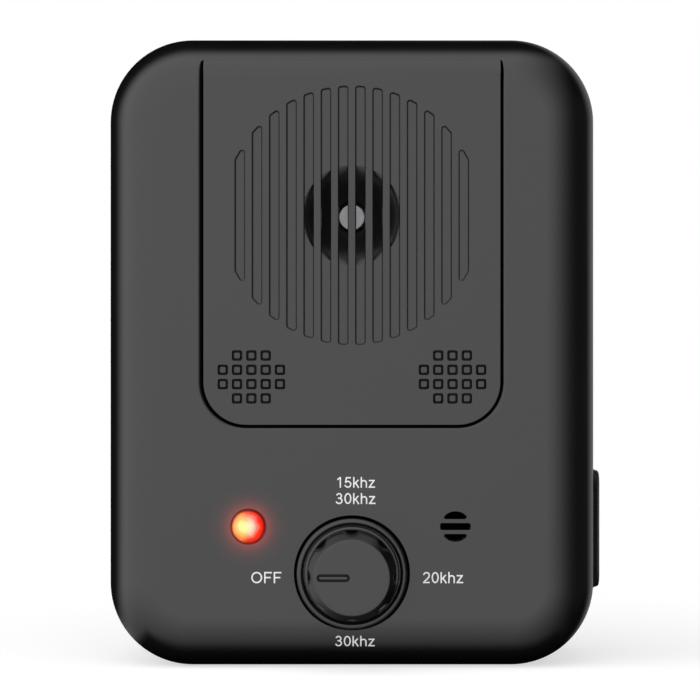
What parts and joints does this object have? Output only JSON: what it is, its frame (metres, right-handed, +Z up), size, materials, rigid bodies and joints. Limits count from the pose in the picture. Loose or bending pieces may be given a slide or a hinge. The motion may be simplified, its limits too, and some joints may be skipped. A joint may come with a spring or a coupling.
{
  "type": "ultrasonic repeller",
  "caption": "Upright rechargeable ultrasonic pest repeller: rounded box with a slotted sound grille, rotary mode knob, pilot lens, microphone port and covered charging socket.",
  "frame": {"origin": "centre of the flat base the housing stands on", "axes": "+Z up, the front face with the grille and knob looks along -Y, +X is right as seen from the front"},
  "size_m": [0.0833, 0.046, 0.106],
  "materials": {
    "housing": "satin moulded black",
    "grille": "satin moulded black",
    "knob": "satin moulded black",
    "horn": "polished moulded black",
    "rubber": "matt moulded",
    "foam": "matt closed-cell foam",
    "steel": "zinc plated",
    "nickel": "nickel plated",
    "brass": "bare",
    "lens": "clear red",
    "board": "solder resist",
    "black_component": "matt moulded",
    "copper": "enamelled copper winding",
    "white_plastic": "natural nylon",
    "ceramic": "fired ceramic",
    "cell": "shrink-wrapped can",
    "label": "printed film, blank",
    "lead_red": "insulated",
    "lead_black": "insulated"
  },
  "bodies": {
    "housing": {"front_cover": "housing", "rear_cover": "housing", "grille_panel": "grille", "case_seal": "rubber", "rear_label": "label", "speaker_horn": "horn", "speaker_gasket": "foam", "speaker_can": "black_component", "piezo_ring": "white_plastic", "piezo_disc": "ceramic", "horn_button": "steel", "speaker_lug_minus": "nickel", "speaker_lug_plus": "nickel", "knob_bezel": "knob", "switch_washer": "steel", "switch_nut": "nickel", "switch_bushing": "nickel", "switch_body": "black_component", "detent_spring": "brass", "switch_base": "black_component", "pilot_lens": "lens", "pilot_bulb": "lens", "mic_boot": "rubber", "mic_capsule": "steel", "circuit_board": "board", "controller_chip": "black_component", "boost_coil": "copper", "storage_capacitor": "black_component", "speaker_lead_header": "white_plastic", "speaker_lead_plug": "white_plastic", "battery_lead_header": "white_plastic", "battery_lead_plug": "white_plastic", "socket_shell": "steel", "socket_tongue": "black_component", "port_cover_anchor": "rubber", "battery_cell": "cell", "battery_tab_plus": "nickel", "battery_tab_minus": "nickel", "speaker_lead_black": "lead_black", "speaker_lead_red": "lead_red", "battery_lead_black": "lead_black", "battery_lead_red": "lead_red", "case_screw_1": "steel", "speaker_screw_1": "steel", "board_screw_1": "steel", "case_screw_2": "steel", "speaker_screw_2": "steel", "board_screw_2": "steel", "case_screw_3": "steel", "speaker_screw_3": "steel", "board_screw_3": "steel", "case_screw_4": "steel", "speaker_screw_4": "steel", "board_screw_4": "steel"},
    "mode_knob": {"knob": "knob", "switch_shaft": "steel", "switch_rotor": "white_plastic", "detent_ball": "steel"},
    "port_flap": {"port_cover": "rubber"}
  },
  "joints": [
    {"name": "knob_turn", "type": "hinge", "parent": "housing", "child": "mode_knob", "pos_m": [0, -0.02, 0.0161], "axis": [0, 1, 0], "range_deg": [0, 270]},
    {"name": "port_cover_swing", "type": "hinge", "parent": "housing", "child": "port_flap", "pos_m": [0.04215, -0.0045, 0.0297], "axis": [0, -1, 0], "range_deg": [0, 110]}
  ]
}
